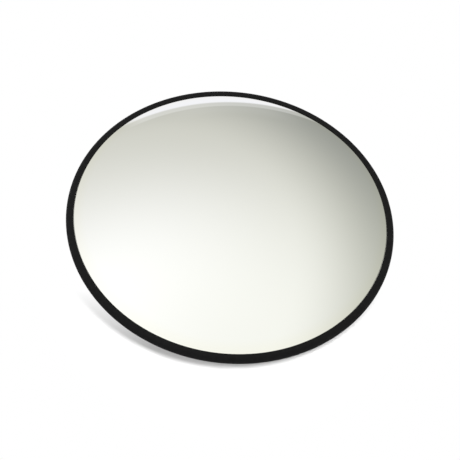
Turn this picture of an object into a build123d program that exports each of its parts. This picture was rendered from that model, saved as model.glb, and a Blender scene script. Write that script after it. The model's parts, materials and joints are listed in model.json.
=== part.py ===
from build123d import *

import math
import os

# Convex security mirror with a telescopic, ball-jointed wall bracket.
#
# The wall is the plane y = 0. The mirror faces -Y and +Z is up. The origin is the centre of
# the wall flange's back face, and the arm's axis is the Y axis. All sizes are in millimetres.
# Distances called "out" are measured from the wall, along -Y.

os.makedirs("parts", exist_ok=True)

# Mirror head
mirror_diameter = 457.2
lens_thickness = 3.2
lens_bulge = 54.0
lens_sight_radius = 217.8
back_panel_thickness = 4.8
gasket_visible_width = 10.5
gasket_rear_lip_width = 12.0
gasket_front_lip = 0.85
gasket_rear_lip = 2.8
gasket_lip_edge = 0.7
gasket_slot_depth = 4.2
gasket_seam_angle = 0.1
front_lip_slope = 0.06
rear_lip_slope = 0.6
edge_gap = 0.3
backing_disc_diameter = 130.0
backing_disc_thickness = 9.0
backing_disc_chamfer = 0.8
vent_hole_diameter = 6.0
vent_hole_radius = 190.0

# Screws that hold the mount plate to the mirror's back
plate_diameter = 130.0
plate_thickness = 2.5
plate_edge_radius = 1.0
plate_screw_circle = 104.0
plate_screw_diameter = 5.0
plate_screw_hole = 5.5
plate_screw_head_diameter = 9.5
plate_screw_head_height = 3.2
plate_washer_diameter = 12.0
plate_washer_thickness = 1.0
screw_head_rounding = 0.45
recess_length = 0.56
recess_width = 0.12
recess_depth = 0.6
tee_nut_flange_diameter = 17.0
tee_nut_flange_thickness = 1.2
tee_nut_barrel_diameter = 6.8
tee_nut_bore = 5.2
tee_nut_barrel_gap = 1.0

# Ball joint, placed from the ball's centre
ball_out = 150.0
ball_radius = 15.0
ball_clearance = 0.1
liner_thickness = 2.9
neck_radius = 5.0
throat_angle = 56.3
liner_rear_angle = 60.0
liner_front_angle = 100.0
seat_edge_angle = 50.0
seat_radius = 13.5
seat_base = 17.6
seat_pocket_gap = 0.3
seat_rim_height = 0.2
socket_clearance = 0.15
cup_outer_radius = 22.0
cup_flange_radius = 35.0
cup_flange_thickness = 3.0
cup_rear = 3.0
cup_shoulder_width = 2.0
cup_shoulder_height = 3.0
cup_depth = 21.0
thread_clearance = 0.15
seat_ring_front = 3.4
seat_ring_rear = 10.1
seat_ring_radius = 21.7
ring_outer_radius = 26.5
ring_rear = 13.0
ring_front = 9.0
ring_front_chamfer = 1.0
ring_rear_chamfer = 2.5
ring_lip_gap = 0.1
ring_groove_end = 4.0
ring_groove_offset = 0.6
ring_grip_grooves = 24
ring_groove_radius = 1.5
socket_screw_circle = 56.0
socket_screw_diameter = 4.0
socket_screw_head_diameter = 7.5
socket_screw_head_height = 2.6

# Arm
rod_radius = 8.0
rod_inner_end = 13.0
rod_outer_end = 118.0
rod_flat_height = 6.5
rod_flat_start = 26.0
rod_flat_end = 88.0
stud_bore_depth = 20.0
stud_length_in_rod = 18.0
stud_chamfer = 1.0
rod_chamfer = 0.8
jam_nut_width = 16.0
jam_nut_height = 5.0
jam_nut_chamfer = 0.4
slider_radius = 10.62
slider_inner_end = 8.0
slider_outer_end = 24.0
slider_chamfer = 0.8
slider_screw_diameter = 4.0
slider_screw_length = 14.0
slider_screw_head_diameter = 8.0
slider_screw_head_height = 2.6
slider_screw_hole_gap = 0.1
slider_recess_gap = 0.2
fit_gap = 0.06

# Wall bracket
flange_width = 90.0
flange_thickness = 4.0
flange_corner_radius = 12.0
flange_hole_spacing = 66.0
flange_hole_diameter = 6.5
weld_size = 3.0
weld_bulge = 1.6
weld_root = 1.0
flange_edge_radius = 1.0
tube_outer_radius = 12.7
tube_inner_radius = 10.7
tube_end = 110.0
bush_length = 18.0
bush_flange_radius = 13.6
bush_flange_thickness = 2.5
bush_rounding = 0.8

# Thumb screw on top of the tube
thumb_out = 82.0
boss_radius = 9.0
boss_top = 21.0
boss_chamfer = 0.8
boss_thread_gap = 0.1
tube_hole_gap = 0.5
thumb_stud_radius = 4.0
thumb_stud_top = 30.0
pad_radius = 3.8
pad_height = 5.0
pad_clearance = 0.1
pad_socket_radius = 2.2
pad_socket_depth = 3.0
stud_tip_radius = 2.0
stud_tip_length = 2.6
pad_chamfer = 0.3
stud_shoulder_gap = 0.3
knob_radius = 16.0
knob_bottom = 25.0
knob_height = 15.0
knob_lobes = 6
knob_lobe_radius = 5.0
knob_lobe_offset = 2.25
knob_top_rounding = 1.6
knob_bottom_rounding = 1.0

# A half section through the Y axis: local x is the radius, local y the distance out.
SECTION = Plane(origin=(0, 0, 0), x_dir=(1, 0, 0), z_dir=(0, 0, -1))

plate_front = ball_out + cup_depth + plate_thickness
panel_front = plate_front + back_panel_thickness
lens_base = panel_front + lens_thickness
gasket_front = lens_base + gasket_front_lip
gasket_rear = plate_front - gasket_rear_lip
mirror_radius = mirror_diameter / 2
liner_inner_radius = ball_radius + ball_clearance
liner_outer_radius = liner_inner_radius + liner_thickness
socket_radius = liner_outer_radius + socket_clearance
ring_bore_radius = cup_outer_radius + thread_clearance
weld_inner_radius = tube_outer_radius + fit_gap


def wall_plane(out):
    """The plane parallel to the wall, that far out, looking away from the wall."""
    return Plane.XZ.offset(out)


def write(node, name):
    """Label a finished piece and write it as its own STEP file."""
    node.part.label = name
    export_step(node.part, f"parts/{name}.step")


# ---------------------------------------------------------------- mirror head
# The dome is part of a sphere, drawn down to a narrow flat flange all round.
sphere_radius = (lens_sight_radius**2 + lens_bulge**2) / (2 * lens_bulge)
sphere_centre = lens_base + lens_bulge - sphere_radius
outer_angle = math.degrees(math.asin(lens_sight_radius / sphere_radius))
inner_radius = sphere_radius - lens_thickness
inner_angle = math.degrees(math.acos((panel_front - sphere_centre) / inner_radius))
flange_edge = mirror_radius - gasket_slot_depth - edge_gap

with BuildPart() as mirror_lens:
    with BuildSketch(SECTION):
        with BuildLine():
            outer = CenterArc((0, sphere_centre), sphere_radius, 90, -outer_angle)
            inner = CenterArc((0, sphere_centre), inner_radius, 90, -inner_angle)
            Polyline(outer @ 1, (flange_edge, lens_base), (flange_edge, panel_front), inner @ 1)
            Line(outer @ 0, inner @ 0)
        make_face()
    revolve(axis=Axis.Y)
write(mirror_lens, "mirror_lens")

with BuildPart() as back_panel:
    with BuildSketch(wall_plane(plate_front)):
        Circle(flange_edge)
        with PolarLocations(plate_screw_circle / 2, 4, start_angle=45):
            Circle(plate_screw_hole / 2, mode=Mode.SUBTRACT)
        with PolarLocations(vent_hole_radius, 4):
            Circle(vent_hole_diameter / 2, mode=Mode.SUBTRACT)
    extrude(amount=back_panel_thickness)
write(back_panel, "back_panel")

# The rubber trim is a U-channel with a half-round outside, pushed over the mirror's edge. Its
# front lip lies low on the dome. Its two ends meet in a butt seam at the bottom.
gasket_middle = (gasket_front + gasket_rear) / 2
bulb_radius = (gasket_front - gasket_rear) / 2
bulb_centre = mirror_radius - bulb_radius
slot_floor = mirror_radius - gasket_slot_depth
sight_edge = mirror_radius - gasket_visible_width
rear_edge = mirror_radius - gasket_rear_lip_width
seam_start = Plane(origin=(0, 0, 0), x_dir=(0, 0, -1), z_dir=(-1, 0, 0))

with BuildPart() as edge_gasket:
    with BuildSketch(seam_start):
        with BuildLine():
            front_lip = Spline(
                (sight_edge, lens_base + gasket_lip_edge),
                (bulb_centre, gasket_front),
                tangents=[(1, front_lip_slope), (1, 0)],
            )
            bulb = ThreePointArc(front_lip @ 1, (mirror_radius, gasket_middle), (bulb_centre, gasket_rear))
            rear_lip = Spline(
                bulb @ 1,
                (rear_edge, plate_front - gasket_lip_edge),
                tangents=[(-1, 0), (-1, rear_lip_slope)],
            )
            Polyline(
                rear_lip @ 1,
                (rear_edge, plate_front),
                (slot_floor, plate_front),
                (slot_floor, lens_base),
                (sight_edge, lens_base),
                front_lip @ 0,
            )
        make_face()
    revolve(axis=Axis.Y, revolution_arc=360 - gasket_seam_angle)
write(edge_gasket, "edge_gasket")

with BuildPart() as backing_disc:
    with BuildSketch(wall_plane(panel_front)):
        Circle(backing_disc_diameter / 2)
        with PolarLocations(plate_screw_circle / 2, 4, start_angle=45):
            Circle(tee_nut_barrel_diameter / 2, mode=Mode.SUBTRACT)
    extrude(amount=backing_disc_thickness)
    chamfer(edges().filter_by(GeomType.CIRCLE).sort_by(Edge.radius)[-2:], backing_disc_chamfer)
write(backing_disc, "backing_disc")

disc_front = panel_front + backing_disc_thickness
plate_screw_end = disc_front + tee_nut_flange_thickness

with BuildPart() as tee_nuts:
    with BuildSketch(wall_plane(disc_front)):
        with PolarLocations(plate_screw_circle / 2, 4, start_angle=45):
            Circle(tee_nut_flange_diameter / 2)
    extrude(amount=tee_nut_flange_thickness)
    with BuildSketch(wall_plane(disc_front)):
        with PolarLocations(plate_screw_circle / 2, 4, start_angle=45):
            Circle(tee_nut_barrel_diameter / 2)
    extrude(amount=tee_nut_barrel_gap - backing_disc_thickness)
    with BuildSketch(wall_plane(plate_screw_end)):
        with PolarLocations(plate_screw_circle / 2, 4, start_angle=45):
            Circle(tee_nut_bore / 2)
    extrude(amount=-backing_disc_thickness - tee_nut_flange_thickness, mode=Mode.SUBTRACT)
write(tee_nuts, "tee_nuts")

plate_rear = ball_out + cup_depth

with BuildPart() as mount_plate:
    with BuildSketch(wall_plane(plate_rear)):
        Circle(plate_diameter / 2)
        with PolarLocations(plate_screw_circle / 2, 4, start_angle=45):
            Circle(plate_screw_hole / 2, mode=Mode.SUBTRACT)
        with PolarLocations(socket_screw_circle / 2, 4):
            Circle(socket_screw_diameter / 2 + fit_gap, mode=Mode.SUBTRACT)
    extrude(amount=plate_thickness)
    fillet(edges().group_by(Axis.Y)[-1].sort_by(Edge.radius)[-1], plate_edge_radius)
write(mount_plate, "mount_plate")


def pan_head_screws(name, circle, start_angle, seat_out, end_out, shank, head, head_height):
    """Four pan-head screws on a circle, heads towards the wall, with a cross recess."""
    with BuildPart() as screws:
        with BuildSketch(wall_plane(seat_out)):
            with PolarLocations(circle / 2, 4, start_angle=start_angle):
                Circle(head / 2)
        extrude(amount=-head_height)
        fillet(edges().filter_by(GeomType.CIRCLE).group_by(Axis.Y)[-1], head_height * screw_head_rounding)
        with BuildSketch(wall_plane(seat_out)):
            with PolarLocations(circle / 2, 4, start_angle=start_angle):
                Circle(shank / 2)
        extrude(amount=end_out - seat_out)
        with BuildSketch(wall_plane(seat_out - head_height)):
            with PolarLocations(circle / 2, 4, start_angle=start_angle):
                Rectangle(head * recess_length, head * recess_width)
                Rectangle(head * recess_width, head * recess_length)
        extrude(amount=head_height * recess_depth, mode=Mode.SUBTRACT)
    write(screws, name)


washer_rear = plate_rear - plate_washer_thickness
pan_head_screws(
    "plate_screws",
    plate_screw_circle,
    45,
    washer_rear,
    plate_screw_end,
    plate_screw_diameter,
    plate_screw_head_diameter,
    plate_screw_head_height,
)

with BuildPart() as plate_washers:
    with BuildSketch(wall_plane(washer_rear)):
        with PolarLocations(plate_screw_circle / 2, 4, start_angle=45):
            Circle(plate_washer_diameter / 2)
            Circle(plate_screw_hole / 2, mode=Mode.SUBTRACT)
    extrude(amount=plate_washer_thickness)
write(plate_washers, "plate_washers")

# ---------------------------------------------------------------- ball joint
cup_flange_rear = plate_rear - cup_flange_thickness
seat_pocket_radius = seat_radius + seat_pocket_gap
seat_pocket_floor = ball_out + seat_base + seat_pocket_gap
pocket_angle = math.degrees(math.asin(seat_pocket_radius / socket_radius))

with BuildPart() as socket_cup:
    with BuildSketch(SECTION):
        with BuildLine():
            cavity = CenterArc((0, ball_out), socket_radius, 0, 90 - pocket_angle)
            Polyline(
                cavity @ 1,
                (seat_pocket_radius, seat_pocket_floor),
                (0, seat_pocket_floor),
                (0, plate_rear),
                (cup_flange_radius, plate_rear),
                (cup_flange_radius, cup_flange_rear),
                (cup_outer_radius + cup_shoulder_width, cup_flange_rear),
                (cup_outer_radius, cup_flange_rear - cup_shoulder_height),
                (cup_outer_radius, ball_out - cup_rear),
                (socket_radius, ball_out - cup_rear),
                cavity @ 0,
            )
        make_face()
    revolve(axis=Axis.Y)
    with BuildSketch(wall_plane(plate_rear)):
        with PolarLocations(socket_screw_circle / 2, 4):
            Circle(socket_screw_diameter / 2 + thread_clearance)
    extrude(amount=-cup_flange_thickness, mode=Mode.SUBTRACT)
write(socket_cup, "socket_cup")

pan_head_screws(
    "socket_screws",
    socket_screw_circle,
    0,
    cup_flange_rear,
    plate_front,
    socket_screw_diameter,
    socket_screw_head_diameter,
    socket_screw_head_height,
)

with BuildPart() as front_seat:
    seat_corner = ball_out + seat_radius / math.tan(math.radians(seat_edge_angle))
    with BuildSketch(SECTION):
        with BuildLine():
            dish = CenterArc((0, ball_out), liner_inner_radius, 90, -seat_edge_angle)
            Polyline(
                dish @ 1,
                (seat_radius, seat_corner + seat_rim_height),
                (seat_radius, ball_out + seat_base),
                (0, ball_out + seat_base),
                dish @ 0,
            )
        make_face()
    revolve(axis=Axis.Y)
write(front_seat, "front_seat")

with BuildPart() as rear_liner_ring:
    with BuildSketch(SECTION):
        with BuildLine():
            zone = liner_front_angle - liner_rear_angle
            inside = CenterArc((0, ball_out), liner_inner_radius, liner_rear_angle - 90, zone)
            outside = CenterArc((0, ball_out), liner_outer_radius, liner_rear_angle - 90, zone)
            Line(inside @ 0, outside @ 0)
            Line(inside @ 1, outside @ 1)
        make_face()
    revolve(axis=Axis.Y)
write(rear_liner_ring, "rear_liner_ring")

with BuildPart() as seat_ring:
    seat_start = math.degrees(math.acos(seat_ring_front / socket_radius))
    seat_end = math.degrees(math.acos(seat_ring_rear / socket_radius))
    with BuildSketch(SECTION):
        with BuildLine():
            seat = CenterArc((0, ball_out), socket_radius, seat_end - 90, seat_start - seat_end)
            Polyline(
                seat @ 0,
                (seat_ring_radius, ball_out - seat_ring_rear),
                (seat_ring_radius, ball_out - seat_ring_front),
                seat @ 1,
            )
        make_face()
    revolve(axis=Axis.Y)
write(seat_ring, "seat_ring")

# The ring's mouth is a cone about the ball's centre, so the neck can swing all round.
throat_slope = math.tan(math.radians(throat_angle))
lip_front = seat_ring_rear + ring_lip_gap

with BuildPart() as locking_ring:
    with BuildSketch(SECTION):
        with BuildLine():
            Polyline(
                (lip_front * throat_slope, ball_out - lip_front),
                (ring_bore_radius, ball_out - lip_front),
                (ring_bore_radius, ball_out + ring_front),
                (ring_outer_radius - ring_front_chamfer, ball_out + ring_front),
                (ring_outer_radius, ball_out + ring_front - ring_front_chamfer),
                (ring_outer_radius, ball_out - ring_rear + ring_rear_chamfer),
                (ring_outer_radius - ring_rear_chamfer, ball_out - ring_rear),
                (ring_rear * throat_slope, ball_out - ring_rear),
                close=True,
            )
        make_face()
    revolve(axis=Axis.Y)
    with BuildSketch(wall_plane(ball_out + ring_front)):
        with PolarLocations(ring_outer_radius + ring_groove_offset, ring_grip_grooves):
            Circle(ring_groove_radius)
    extrude(amount=-(ring_front + ring_rear - ring_groove_end), mode=Mode.SUBTRACT)
write(locking_ring, "locking_ring")

with BuildPart() as ball_stud:
    stud_tip = rod_outer_end - stud_length_in_rod
    neck_angle = math.degrees(math.asin(neck_radius / ball_radius))
    with BuildSketch(SECTION):
        with BuildLine():
            ball = CenterArc((0, ball_out), ball_radius, 90, neck_angle - 180)
            Polyline(
                ball @ 1,
                (neck_radius, stud_tip + stud_chamfer),
                (neck_radius - stud_chamfer, stud_tip),
                (0, stud_tip),
                ball @ 0,
            )
        make_face()
    revolve(axis=Axis.Y)
write(ball_stud, "ball_stud")

with BuildPart() as jam_nut:
    with BuildSketch(wall_plane(rod_outer_end)):
        RegularPolygon(jam_nut_width / 2, 6, major_radius=False)
        Circle(neck_radius + fit_gap, mode=Mode.SUBTRACT)
    extrude(amount=jam_nut_height)
    chamfer(edges().filter_by(GeomType.CIRCLE), jam_nut_chamfer)
write(jam_nut, "jam_nut")

# ---------------------------------------------------------------- arm
with BuildPart() as sliding_rod:
    with BuildSketch(wall_plane(rod_inner_end)):
        Circle(rod_radius)
    extrude(amount=rod_outer_end - rod_inner_end)
    chamfer(edges().group_by(Axis.Y)[0], rod_chamfer)
    with BuildSketch(wall_plane(rod_outer_end)):
        Circle(neck_radius + fit_gap)
    extrude(amount=-stud_bore_depth, mode=Mode.SUBTRACT)
    with BuildSketch(wall_plane(rod_inner_end)):
        Circle(slider_screw_diameter / 2 + fit_gap)
    extrude(amount=slider_screw_length, mode=Mode.SUBTRACT)
    with BuildSketch(wall_plane(rod_flat_start)):
        with Locations((0, rod_flat_height)):
            Rectangle(2 * rod_radius, rod_radius, align=(Align.CENTER, Align.MIN))
    extrude(amount=rod_flat_end - rod_flat_start, mode=Mode.SUBTRACT)
write(sliding_rod, "sliding_rod")

slider_floor = slider_inner_end + slider_screw_head_height

with BuildPart() as rod_end_slider:
    with BuildSketch(wall_plane(slider_inner_end)):
        Circle(slider_radius)
    extrude(amount=slider_outer_end - slider_inner_end)
    chamfer(edges().filter_by(GeomType.CIRCLE), slider_chamfer)
    with BuildSketch(wall_plane(slider_outer_end)):
        Circle(rod_radius + fit_gap)
    extrude(amount=rod_inner_end - slider_outer_end, mode=Mode.SUBTRACT)
    with BuildSketch(wall_plane(slider_inner_end)):
        Circle(slider_screw_head_diameter / 2 + slider_recess_gap)
    extrude(amount=slider_screw_head_height, mode=Mode.SUBTRACT)
    with BuildSketch(wall_plane(slider_floor)):
        Circle(slider_screw_diameter / 2 + slider_screw_hole_gap)
    extrude(amount=rod_inner_end - slider_floor, mode=Mode.SUBTRACT)
write(rod_end_slider, "rod_end_slider")

with BuildPart() as slider_screw:
    with BuildSketch(wall_plane(slider_inner_end)):
        Circle(slider_screw_head_diameter / 2)
    extrude(amount=slider_screw_head_height)
    chamfer(edges().group_by(Axis.Y)[-1], slider_chamfer)
    with BuildSketch(wall_plane(slider_floor)):
        Circle(slider_screw_diameter / 2)
    extrude(amount=slider_screw_length)
write(slider_screw, "slider_screw")

# ---------------------------------------------------------------- wall bracket
with BuildPart() as wall_flange:
    with BuildSketch(wall_plane(0)):
        RectangleRounded(flange_width, flange_width, flange_corner_radius)
        with GridLocations(flange_hole_spacing, flange_hole_spacing, 2, 2):
            Circle(flange_hole_diameter / 2, mode=Mode.SUBTRACT)
    extrude(amount=flange_thickness)
    fillet(edges().group_by(Axis.Y)[0].filter_by(lambda edge: not edge.is_closed), flange_edge_radius)
    with BuildSketch(SECTION):
        with BuildLine():
            weld = RadiusArc(
                (tube_outer_radius + weld_size, flange_thickness),
                (weld_inner_radius, flange_thickness + weld_size),
                weld_size * weld_bulge,
            )
            Polyline(
                weld @ 1,
                (weld_inner_radius, flange_thickness - weld_root),
                (tube_outer_radius + weld_size, flange_thickness - weld_root),
                weld @ 0,
            )
        make_face()
    revolve(axis=Axis.Y)
write(wall_flange, "wall_flange")

with BuildPart() as outer_tube:
    with BuildSketch(wall_plane(flange_thickness)):
        Circle(tube_outer_radius)
        Circle(tube_inner_radius, mode=Mode.SUBTRACT)
    extrude(amount=tube_end - flange_thickness)
    with BuildSketch(Plane.XY.offset(boss_top)):
        with Locations((0, -thumb_out)):
            Circle(thumb_stud_radius + tube_hole_gap)
    extrude(amount=-boss_top, mode=Mode.SUBTRACT)
write(outer_tube, "outer_tube")

with BuildPart() as clamp_boss:
    with BuildSketch(Plane.XY):
        with Locations((0, -thumb_out)):
            Circle(boss_radius)
    extrude(amount=boss_top)
    chamfer(edges().group_by(Axis.Z)[-1], boss_chamfer)
    with BuildSketch(Plane.XY):
        with Locations((0, -thumb_out)):
            Circle(thumb_stud_radius + boss_thread_gap)
    extrude(amount=boss_top, mode=Mode.SUBTRACT)
    with BuildSketch(wall_plane(0)):
        Circle(weld_inner_radius)
    extrude(amount=tube_end, mode=Mode.SUBTRACT)
write(clamp_boss, "clamp_boss")

with BuildPart() as guide_bush:
    with BuildSketch(wall_plane(tube_end - bush_length)):
        Circle(tube_inner_radius)
    extrude(amount=bush_length)
    with BuildSketch(wall_plane(tube_end)):
        Circle(bush_flange_radius)
    extrude(amount=bush_flange_thickness)
    fillet(edges().group_by(Axis.Y)[0], bush_rounding)
    with BuildSketch(wall_plane(tube_end - bush_length)):
        Circle(rod_radius + fit_gap)
    extrude(amount=bush_length + bush_flange_thickness, mode=Mode.SUBTRACT)
write(guide_bush, "guide_bush")

# ---------------------------------------------------------------- thumb screw
pad_bottom = rod_flat_height + pad_clearance
pad_top = pad_bottom + pad_height

with BuildPart() as pressure_pad:
    with BuildSketch(Plane.XY.offset(pad_bottom)):
        with Locations((0, -thumb_out)):
            Circle(pad_radius)
    extrude(amount=pad_height)
    chamfer(edges(), pad_chamfer)
    with BuildSketch(Plane.XY.offset(pad_top)):
        with Locations((0, -thumb_out)):
            Circle(pad_socket_radius)
    extrude(amount=-pad_socket_depth, mode=Mode.SUBTRACT)
write(pressure_pad, "pressure_pad")

stud_shoulder = pad_top + stud_shoulder_gap

with BuildPart() as thumb_screw_stud:
    with BuildSketch(Plane.XY.offset(stud_shoulder)):
        with Locations((0, -thumb_out)):
            Circle(thumb_stud_radius)
    extrude(amount=thumb_stud_top - stud_shoulder)
    with BuildSketch(Plane.XY.offset(stud_shoulder)):
        with Locations((0, -thumb_out)):
            Circle(stud_tip_radius)
    extrude(amount=-stud_tip_length)
write(thumb_screw_stud, "thumb_screw_stud")

with BuildPart() as thumb_screw_knob:
    with BuildSketch(Plane.XY.offset(knob_bottom)):
        with Locations((0, -thumb_out)):
            Circle(knob_radius)
            with PolarLocations(knob_radius + knob_lobe_offset, knob_lobes):
                Circle(knob_lobe_radius, mode=Mode.SUBTRACT)
    extrude(amount=knob_height)
    fillet(edges().group_by(Axis.Z)[-1], knob_top_rounding)
    fillet(edges().group_by(Axis.Z)[0], knob_bottom_rounding)
    with BuildSketch(Plane.XY.offset(knob_bottom)):
        with Locations((0, -thumb_out)):
            Circle(thumb_stud_radius)
    extrude(amount=thumb_stud_top - knob_bottom, mode=Mode.SUBTRACT)
write(thumb_screw_knob, "thumb_screw_knob")
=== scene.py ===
import json
import math

import bmesh
import bpy
from mathutils import Matrix, Vector


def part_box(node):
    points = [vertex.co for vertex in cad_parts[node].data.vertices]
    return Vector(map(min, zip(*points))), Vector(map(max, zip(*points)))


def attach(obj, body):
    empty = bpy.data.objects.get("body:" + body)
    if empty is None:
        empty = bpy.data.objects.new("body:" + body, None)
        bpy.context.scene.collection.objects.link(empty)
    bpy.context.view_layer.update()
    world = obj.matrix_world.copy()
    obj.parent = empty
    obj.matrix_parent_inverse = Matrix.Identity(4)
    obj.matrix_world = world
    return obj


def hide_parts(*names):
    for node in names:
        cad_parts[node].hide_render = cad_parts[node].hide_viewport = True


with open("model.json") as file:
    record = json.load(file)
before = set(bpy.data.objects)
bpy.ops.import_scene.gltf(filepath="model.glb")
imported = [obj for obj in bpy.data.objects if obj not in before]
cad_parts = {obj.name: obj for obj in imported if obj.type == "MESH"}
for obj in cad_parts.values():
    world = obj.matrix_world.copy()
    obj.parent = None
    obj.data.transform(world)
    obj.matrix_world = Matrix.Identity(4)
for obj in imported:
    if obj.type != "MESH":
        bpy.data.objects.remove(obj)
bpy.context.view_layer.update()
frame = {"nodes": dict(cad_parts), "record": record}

# Looks of the convex security mirror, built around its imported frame. Everything is in metres.
# The wall is the plane y = 0, the mirror faces -Y and +Z is up. "Out" is the distance from the
# wall, along -Y. The mirror hangs level and square to the wall, and the camera looks up at it.

MM = 0.001
TURN = 2 * math.pi
SMOOTH_ANGLE = math.radians(35)


# ------------------------------------------------------------------ places, from the frame
def out_span(node):
    """How far out from the wall a node begins and ends."""
    low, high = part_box(node)
    return -high.y, -low.y


def outer_radius(node):
    """Half of a round node's width, for a node whose axis is the Y axis."""
    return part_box(node)[1].x


lens_back, lens_apex = out_span("mirror_lens")
board_back = out_span("back_panel")[0]
trim_back, trim_front = out_span("edge_gasket")
rim_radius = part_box("edge_gasket")[1].z
ring_centre = Vector((0, -(trim_back + trim_front) / 2, 0))
stud_tip, ball_front = out_span("ball_stud")
ball_radius = outer_radius("ball_stud")
ball_out = ball_front - ball_radius

LENS_THICKNESS = 3.2 * MM
SIGHT_RADIUS = 217.8 * MM
lens_base = lens_back + LENS_THICKNESS
lens_bulge = lens_apex - lens_base

# A lathe's own axis is Z. OUTWARD lays it along -Y, so its heights are distances out.
OUTWARD = Matrix.Rotation(math.radians(90), 4, "X")


# ------------------------------------------------------------------ mesh helpers
def add_piece(bm, name, slot, body, node, angle=SMOOTH_ANGLE):
    """Turns a bmesh into a finished piece that stands for a CAD node."""
    bmesh.ops.recalc_face_normals(bm, faces=bm.faces)
    mesh = bpy.data.meshes.new(name)
    bm.to_mesh(mesh)
    bm.free()
    mesh.shade_smooth()
    mesh.set_sharp_from_angle(angle=angle)
    piece = bpy.data.objects.new(name, mesh)
    bpy.context.scene.collection.objects.link(piece)
    dress(piece, slot)
    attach(piece, body)
    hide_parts(node)
    return piece


def lathe(bm, profile, columns, place=OUTWARD, wave=None, closed=False):
    """Turns (radius, height) points about Z. A wave bends each point: wave(turn, radius, height)."""
    rings = []
    for radius, height in profile:
        if radius < 1e-7:
            rings.append([bm.verts.new(place @ Vector((0, 0, height)))])
            continue
        ring = []
        for column in range(columns):
            turn = TURN * column / columns
            far, up = wave(turn, radius, height) if wave else (radius, height)
            ring.append(bm.verts.new(place @ Vector((far * math.cos(turn), far * math.sin(turn), up))))
        rings.append(ring)
    pairs = list(zip(rings, rings[1:]))
    if closed:
        pairs.append((rings[-1], rings[0]))
    for low, high in pairs:
        for column in range(columns):
            after = (column + 1) % columns
            corners = [
                low[column % len(low)],
                low[after % len(low)],
                high[after % len(high)],
                high[column % len(high)],
            ]
            bm.faces.new(list(dict.fromkeys(corners)))


def soften(corners, steps=4, closed=False):
    """A profile from (radius, height, rounding) corners, each rounded by a short curve."""
    points = []
    count = len(corners)
    for index, (radius, height, rounding) in enumerate(corners):
        here = Vector((radius, height))
        at_end = not closed and index in (0, count - 1)
        if rounding == 0 or at_end:
            points.append((radius, height))
            continue
        before = Vector(corners[index - 1][:2]) - here
        after = Vector(corners[(index + 1) % count][:2]) - here
        start = here + before.normalized() * min(rounding, before.length / 2)
        end = here + after.normalized() * min(rounding, after.length / 2)
        for step in range(steps + 1):
            t = step / steps
            point = start * (1 - t) ** 2 + here * 2 * t * (1 - t) + end * t**2
            points.append((point.x, point.y))
    return points


def arc(centre_height, radius, start, end, steps):
    """Section points on a circle about the axis; angles in degrees, 0 away from the axis."""
    points = []
    for step in range(steps + 1):
        turn = math.radians(start + (end - start) * step / steps)
        points.append((radius * math.cos(turn), centre_height + radius * math.sin(turn)))
    return points


def run(radius, start, end, spacing):
    """Section points along a straight shank, close enough together to carry a thread."""
    count = max(2, round(abs(end - start) / spacing))
    return [(radius, start + (end - start) * step / count) for step in range(count + 1)]


def limit(value):
    return min(1.0, max(0.0, value))


def thread(pitch, depth, start, end):
    """A wave that cuts a right-hand screw thread between two heights and runs it out at both."""
    def wave(turn, radius, height):
        runout = limit((height - start) / pitch) * limit((end - height) / pitch)
        phase = (height / pitch - turn / TURN) % 1
        groove = limit(1.15 - abs(phase - 0.5) * 3)
        return radius - depth * runout * groove, height
    return wave


def scallop(turn, count, half_angle):
    """How deep a point lies in the nearest of count round grooves: 1 at the middle, 0 outside."""
    pitch = TURN / count
    offset = abs((turn + pitch / 2) % pitch - pitch / 2) / half_angle
    return 0.5 + 0.5 * math.cos(math.pi * limit(offset))


MERGE_DISTANCE = 0.001 * MM


def subtract(piece, cutter):
    """Cuts a helper object out of a piece and throws the helper away.

    The cut leaves doubled points where both meshes have one, so they are merged afterwards.
    """
    cut = piece.modifiers.new("cut", "BOOLEAN")
    cut.object = cutter
    cut.solver = "EXACT"
    graph = bpy.context.evaluated_depsgraph_get()
    mesh = bpy.data.meshes.new_from_object(piece.evaluated_get(graph))
    bm = bmesh.new()
    bm.from_mesh(mesh)
    bmesh.ops.remove_doubles(bm, verts=bm.verts, dist=MERGE_DISTANCE)
    bm.to_mesh(mesh)
    bm.free()
    piece.modifiers.clear()
    piece.data = mesh
    mesh.set_sharp_from_angle(angle=SMOOTH_ANGLE)
    bpy.data.objects.remove(cutter)


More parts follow.
